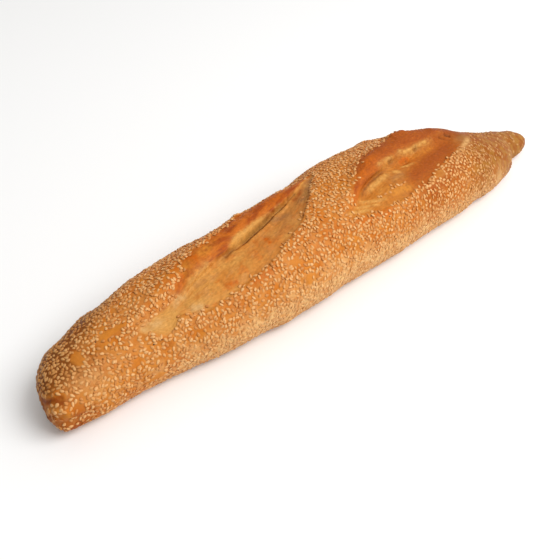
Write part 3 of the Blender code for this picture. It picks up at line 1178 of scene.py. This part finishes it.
def crust_material():
    """The crust's paint, from the old skin to the underside."""
    material, shader = plain_material("baked_crust")
    paint = Paint(material)
    spots = paint_old_skin(paint)
    paint_openings(paint)
    paint_tints(paint)
    paint.cover("underside", BASE_BROWN, BASE_PALE, 18 * MM, 0.95, softness=0.3)
    paint.uneven(0.9 * MM, 0.14, streak_place(paint, FINE_STREAKS), paint.mask("new_skin"))
    paint.uneven(2.6 * MM, 0.08)
    grainy(paint, shader, size=1.4 * MM, strength=0.5, depth=0.25 * MM)
    rough = add(paint.tree, "ShaderNodeMapRange", CRUST_ROUGHNESS)
    join(
        paint.tree,
        (spots.outputs["Mask"], rough.inputs["Value"]),
        (rough.outputs["Result"], shader.inputs["Roughness"]),
    )
    shader.inputs["Specular IOR Level"].default_value = CRUST_SHINE
    return material


crust = object_from("crust", skin, crust_material())
for face in crust.data.polygons:
    face.use_smooth = True
for name, values in MASKS.items():
    write_attribute(crust.data, name, values)
write_attribute(crust.data, "stretched", np.column_stack([stretched, np.zeros(len(stretched))]))
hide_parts("loaf")
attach(crust, "root")
print("crust:", len(crust.data.vertices), "vertices")

# %% [markdown]
# ## One sesame seed
# A hulled sesame seed is a flat teardrop some 3 mm long. A small sphere with its poles at the two tips
# makes it well: its rings are squeezed flat, and narrowed towards one pole. With some thousands of copies
# to come, it stays at a few dozen faces.

# %% One sesame seed
SEED_LENGTH = 3.1 * MM
SEED_WIDTH = 2.0 * MM
SEED_THICKNESS = 0.92 * MM
SEED_TAPER = 0.45
SEED_BLUNT_FROM = -0.3
SEED_TIP_THINNER = 0.25
SEED_SIDES = 7
SEED_RINGS = 5


def seed_template():
    """Corner places of one seed, its long axis along X and its pointed tip at +X, and its faces."""
    bm = bmesh.new()
    bmesh.ops.create_uvsphere(bm, u_segments=SEED_SIDES, v_segments=SEED_RINGS, radius=0.5)
    bmesh.ops.rotate(bm, verts=bm.verts, matrix=Matrix.Rotation(math.pi / 2, 3, "Y"))
    bmesh.ops.scale(bm, verts=bm.verts, vec=(SEED_LENGTH, SEED_WIDTH, SEED_THICKNESS))
    for vertex in bm.verts:
        towards_tip = vertex.co.x / (SEED_LENGTH / 2)
        vertex.co.y *= 1 - SEED_TAPER * max(towards_tip, SEED_BLUNT_FROM)
        vertex.co.z *= 1 - SEED_TIP_THINNER * max(towards_tip, 0)
    bmesh.ops.recalc_face_normals(bm, faces=bm.faces)
    corners = np.array([vertex.co for vertex in bm.verts])
    faces = [[vertex.index for vertex in face.verts] for face in bm.faces]
    bm.free()
    return corners, faces


seed_corners, seed_faces = seed_template()
seed_triangles = sum(len(face) - 2 for face in seed_faces)
print("one seed:", len(seed_faces), "faces,", seed_triangles, "triangles")

# %% [markdown]
# ## Where the seeds lie
# Seeds cling wherever wet dough met them, so they cover the old skin in uneven drifts, thin out towards the
# foot and stay off the new skin. Candidates are thrown at random over the crust's triangles, more of them
# where a drift is dense, and one is kept if it doesn't lie on another. Each seed is tested as two circles
# along its length, because round tests would keep long seeds too far apart.

# %% How dense the seeds are
FOOT_SHARE = 0.04
LEAST_SHARE = 0.05
RIM_SHARE = 0.12
RIM_WIDTH = 1.6 * MM
STRAY_SHARE = 0.2
STRAY_SPOT = ((42, -23, 50), 13, 4)


def density():
    """Seeds wanted at each vertex of the crust, as a share of a normal cover. Each factor is one cause."""
    drift = 1 + 0.5 * rumple(points, 16 * MM, 71) + 0.6 * rumple(points, 6 * MM, 72)
    far_side = 1 + 0.9 * ramp(-5, 20, y) + 1.0 * ramp(-188, -208, x)
    near_foot = FOOT_SHARE + (1 - FOOT_SHARE) * ramp(0.5, 5, z)
    blunt_foot = 1 - 0.85 * ramp(-198, -212, x) * ramp(27, 22, z)
    towards_nose = ramp(75, 125, x)
    near_side = 1 + (0.15 - 0.6 * towards_nose) * ramp(36, 22, z) * ramp(-10, -25, y)
    nose = 1 - 0.88 * ramp(118, 152, x) - 0.08 * ramp(180, 205, x)
    cover = drift * far_side * near_foot * blunt_foot * near_side * nose
    stray = STRAY_SHARE * opening_masks[1] * spot(*STRAY_SPOT)
    for read, mask in zip(reads, opening_masks):
        at_rim = bell(read["from_lip"] - MM, RIM_WIDTH) + bell(read["from_edge"] - MM, RIM_WIDTH)
        stray += RIM_SHARE * mask * at_rim * ramp(112, 96, x)
    return np.maximum(cover, LEAST_SHARE) * old_skin * (1 - bare) * (1 - MASKS["dark"]) + stray


seed_density = density()
print("mean density", round(float(seed_density.mean()), 2))

# %% Throw the seeds
SEEDS_PER_SQUARE_CM = 17.0
THROWS = 3.0
CIRCLE_GAP = 1.06 * MM
CIRCLE_PLACE = 0.26 * SEED_LENGTH
SQUARE_CM = 0.01**2
NOSE_TOAST = 0.6
# how much the blunt end's painted shade also darkens and sinks the seeds
PAINTED_SHADE_TOAST = 0.5


def corners_of_triangles(mesh):
    """The three vertex numbers of every triangle."""
    mesh.calc_loop_triangles()
    corners = np.empty(len(mesh.loop_triangles) * 3, np.int32)
    mesh.loop_triangles.foreach_get("vertices", corners)
    return corners.reshape(-1, 3)


def candidates(chance):
    """Random places on the crust, most of them where the seeds are dense, with their normals and looks."""
    corners = corners_of_triangles(crust.data)
    a, b, c = (points[corners[:, k]] for k in range(3))
    area = np.linalg.norm(np.cross(b - a, c - a), axis=1) / 2
    wanted = area * seed_density[corners].mean(1)
    count = int(wanted.sum() / SQUARE_CM * SEEDS_PER_SQUARE_CM * THROWS)
    chosen = chance.choice(len(corners), size=count, p=wanted / wanted.sum())
    u, v = chance.random_sample((2, count))
    flip = u + v > 1
    u[flip], v[flip] = 1 - u[flip], 1 - v[flip]
    weights = np.stack([1 - u - v, u, v], 1)
    places = (points[corners[chosen]] * weights[:, :, None]).sum(1)
    ups = (normals[corners[chosen]] * weights[:, :, None]).sum(1)
    # the toast carries the nose's bake and the painted shade of the blunt end
    toast = np.maximum(NOSE_TOAST * nose_bake**3, PAINTED_SHADE_TOAST * shade_bake)
    looks = np.stack([toast, MASKS["low_side"]], 1)[corners[chosen]].mean(1)
    return places, ups / np.linalg.norm(ups, axis=1)[:, None], looks


def throw_seeds():
    """Places, normals, long axes and looks (toast and painted shade, flour) of seeds that found room."""
    chance = np.random.RandomState(20)
    places, ups, looks = candidates(chance)
    turns = chance.random_sample(len(places)) * 2 * math.pi
    taken = {}
    kept = []
    for place, up, turn, look in zip(places, ups, turns, looks):
        side = np.cross(up, (1.0, 0.0, 0.0) if abs(up[0]) < 0.9 else (0.0, 1.0, 0.0))
        side /= np.linalg.norm(side)
        axis = math.cos(turn) * side + math.sin(turn) * np.cross(up, side)
        circles = [place - CIRCLE_PLACE * axis, place + CIRCLE_PLACE * axis]
        cells = [tuple(np.floor(circle / CIRCLE_GAP).astype(int)) for circle in circles]
        if all(has_room(circle, cell, taken) for circle, cell in zip(circles, cells)):
            for circle, cell in zip(circles, cells):
                taken.setdefault(cell, []).append(circle)
            kept.append((place, up, axis, look))
    return [np.array(column) for column in zip(*kept)]


def has_room(circle, cell, taken):
    """Whether no other seed's circle is closer than the gap."""
    for step in itertools.product((-1, 0, 1), repeat=3):
        for other in taken.get((cell[0] + step[0], cell[1] + step[1], cell[2] + step[2]), ()):
            gap = circle - other
            if gap @ gap < CIRCLE_GAP**2:
                return False
    return True


seed_places, seed_ups, seed_axes, seed_looks = throw_seeds()
seed_toast_and_shade, seed_flour = seed_looks.T
print(len(seed_places), "seeds found room")

# %% [markdown]
# ## Seeds of three bakes
# About a third of the seeds stay cream, a third turn golden and the rest are toasted. They are sorted into
# three pieces by how baked they are, which also keeps each piece light. Every copy is the one seed, turned,
# tilted and sized a little differently, and pressed into the crust by about half of its thickness, deeper
# where it baked brown and under the painted shade of the blunt end.

# %% Joined seed meshes
CENTRE_LIFT = 0.04 * MM
LIFT_SPREAD = 0.08 * MM
BAKED_SINK = 0.2 * MM
TILT_SPREAD = 0.16
SIZE_SPREAD = 0.08
LEAST_HEIGHT = 0.02 * MM
BAKES = (("seeds_cream", 0.36), ("seeds_golden", 0.72), ("seeds_toasted", 1.01))


def seed_frames(chance, axes, ups):
    """For each seed, the three columns of its turn: long axis, side and up, each tilted a little."""
    tilt = chance.normal(0, TILT_SPREAD, (len(axes), 2))
    sides = np.cross(ups, axes)
    leaning = ups + tilt[:, :1] * axes + tilt[:, 1:] * sides
    leaning /= np.linalg.norm(leaning, axis=1)[:, None]
    sides = np.cross(leaning, axes)
    sides /= np.linalg.norm(sides, axis=1)[:, None]
    return np.cross(sides, leaning), sides, leaning


def joined_seeds(name, material, chosen, tone):
    """All chosen seeds as one mesh, with shader attributes: tone, toast with painted shade, place on seed."""
    chance = np.random.RandomState(len(name))
    turns = seed_frames(chance, seed_axes[chosen], seed_ups[chosen])
    sizes = chance.normal(1, SIZE_SPREAD, (len(chosen), 3)).clip(0.8, 1.2)
    local = seed_corners[None] * sizes[:, None]
    turned = sum(local[..., k : k + 1] * column[:, None] for k, column in enumerate(turns))
    spread = chance.normal(0, LIFT_SPREAD, len(chosen))
    lift = CENTRE_LIFT - BAKED_SINK * seed_toast_and_shade[chosen] + spread
    centres = seed_places[chosen] + seed_ups[chosen] * lift[:, None]
    corners = (turned + centres[:, None]).reshape(-1, 3)
    corners[:, 2] = np.maximum(corners[:, 2], LEAST_HEIGHT)
    count = len(seed_corners)
    faces = []
    for first in range(0, count * len(chosen), count):
        faces += [[first + index for index in face] for face in seed_faces]
    mesh = bpy.data.meshes.new(name)
    mesh.from_pydata(corners.tolist(), [], faces)
    mesh.shade_smooth()
    for attribute, values in (("tone", tone), ("toast", seed_toast_and_shade[chosen]), ("flour", seed_flour[chosen])):
        write_attribute(mesh, attribute, np.repeat(values, count))
    for attribute, axis, size in (("towards_tip", 0, SEED_LENGTH), ("height", 2, SEED_THICKNESS)):
        write_attribute(mesh, attribute, np.tile(seed_corners[:, axis] / (size / 2), len(chosen)))
    return stuck_on(name, mesh, material)


def stuck_on(name, mesh, material):
    """Puts a mesh of small things into the scene and has it ride with the loaf."""
    mesh.materials.append(material)
    piece = bpy.data.objects.new(name, mesh)
    bpy.context.scene.collection.objects.link(piece)
    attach(piece, "root")
    return piece


# %% [markdown]
# ## Seed material
# A baked seed is palest on its rounded back and browner at its tip. Its lower rim, where it sinks into the
# crust, is painted darker as painted shade. The material blends those by the attributes above, and the same
# function makes all three bakes.

# %% Seed material
SEED_COLOURS = {
    # back, toasted back, and the darker colour of the tip and of the painted shade on the lower rim
    "seeds_cream": (colour(226, 178, 120), colour(216, 158, 94), colour(194, 120, 54)),
    "seeds_golden": (colour(218, 162, 98), colour(208, 143, 76), colour(184, 108, 42)),
    "seeds_toasted": (colour(206, 144, 78), colour(192, 122, 56), colour(168, 92, 32)),
}
RIMS = (
    # attribute, where the rim's colour starts and where it is full, strength
    ("towards_tip", 0.45, 1.05, 0.6),
    # painted shade: the seed's lower rim, where it meets the crust, takes the tip's darker colour
    ("height", 0.75, -0.35, 0.85),
)
SEED_BROWN = colour(154, 100, 38)
SEED_FLOUR = colour(224, 180, 120)
SEED_SHINE = 0.3
SEED_ROUGHNESS = 0.52


def seed_material(name):
    """The paint of one bake of seeds."""
    back, toasted, rim = SEED_COLOURS[name]
    material, shader = plain_material(name, SEED_ROUGHNESS)
    paint = Paint(material)
    paint.lay(paint.mottle(back, toasted, 2.2 * MM, softness=0.25).outputs["Color"])
    paint.lay(toasted, paint.mask("tone"), 0.8)
    for attribute, start, end, strength in RIMS:
        rim_mask = add(
            paint.tree,
            "ShaderNodeMapRange",
            {"From Min": start, "From Max": end},
            interpolation_type="SMOOTHSTEP",
        )
        join(paint.tree, (paint.mask(attribute), rim_mask.inputs["Value"]))
        paint.lay(rim, rim_mask.outputs["Result"], strength)
    paint.lay(SEED_FLOUR, paint.mask("flour"), 0.4)
    # brown where the seeds toasted at the nose, and painted shade on them at the blunt end
    paint.lay(SEED_BROWN, paint.mask("toast"), 0.85)
    grainy(paint, shader, size=0.7 * MM, strength=0.25, depth=0.1 * MM)
    shader.inputs["Specular IOR Level"].default_value = SEED_SHINE
    return material


bake_chance = np.random.RandomState(5)
bake = bake_chance.random_sample(len(seed_places))
lowest = 0.0
for name, highest in BAKES:
    chosen = np.flatnonzero((bake >= lowest) & (bake < highest))
    tone = bake_chance.random_sample(len(chosen))
    piece = joined_seeds(name, seed_material(name), chosen, tone)
    print(name, len(chosen), "seeds,", len(chosen) * seed_triangles, "triangles")
    lowest = highest

# %% [markdown]
# ## Dark specks
# A few burnt crumbs lie among the seeds. Each is a small lumpy ball, so an icosphere squeezed a little and
# pushed about by its corners does it. A speck's place is given from above, and the nearest spot of the
# crust gives its height.

# %% Dark specks
SPECK_SIZE = 1.0 * MM
SPECK_LIFT = 0.25 * MM
SPECK_FLATTER = 0.3
SPECK_BUMP = 0.08
SPECK_ROUGHNESS = 0.7
SPECK_BLACK = colour(58, 34, 16)
SPECK_BROWN = colour(92, 58, 28)
SPECK_PLACES = (
    (-180.3, 2.3), (-182.4, -8.6), (-154.6, -18.3), (-149.2, -18.8), (-97.7, -35.3), (-66, -32.2),
    (11.7, -31.4), (24.8, -36.8), (24.6, -42.8), (25.9, -43.3),
)
OUT_OF_REACH = 1.0


def nearest_crown_point(place):
    """The crust's point over a place seen from above."""
    gap = np.linalg.norm(points[:, :2] - np.array(place) * MM, axis=1)
    return Vector(points[np.argmin(gap + OUT_OF_REACH * (z < CROWN_LOW))])


speck_chance = np.random.RandomState(8)
specks = bmesh.new()
for place in SPECK_PLACES:
    size = SPECK_SIZE * speck_chance.uniform(0.75, 1.15)
    centre = nearest_crown_point(place) + Vector((0, 0, SPECK_LIFT))
    moved = Matrix.Translation(centre)
    made = bmesh.ops.create_icosphere(specks, subdivisions=1, radius=size / 2, matrix=moved)
    for vertex in made["verts"]:
        vertex.co += Vector(speck_chance.uniform(-SPECK_BUMP, SPECK_BUMP, 3)) * MM
        vertex.co.z -= SPECK_FLATTER * (vertex.co.z - centre.z)
speck_material, speck_shader = plain_material("burnt_specks", SPECK_ROUGHNESS)
speck_paint = Paint(speck_material)
speck_paint.lay(speck_paint.mottle(SPECK_BLACK, SPECK_BROWN, 0.7 * MM).outputs["Color"])
join(speck_paint.tree, (speck_paint.latest, speck_shader.inputs["Base Color"]))
speck_mesh = bpy.data.meshes.new("specks")
specks.to_mesh(speck_mesh)
specks.free()
stuck_on("specks", speck_mesh, speck_material)
print(len(SPECK_PLACES), "specks")
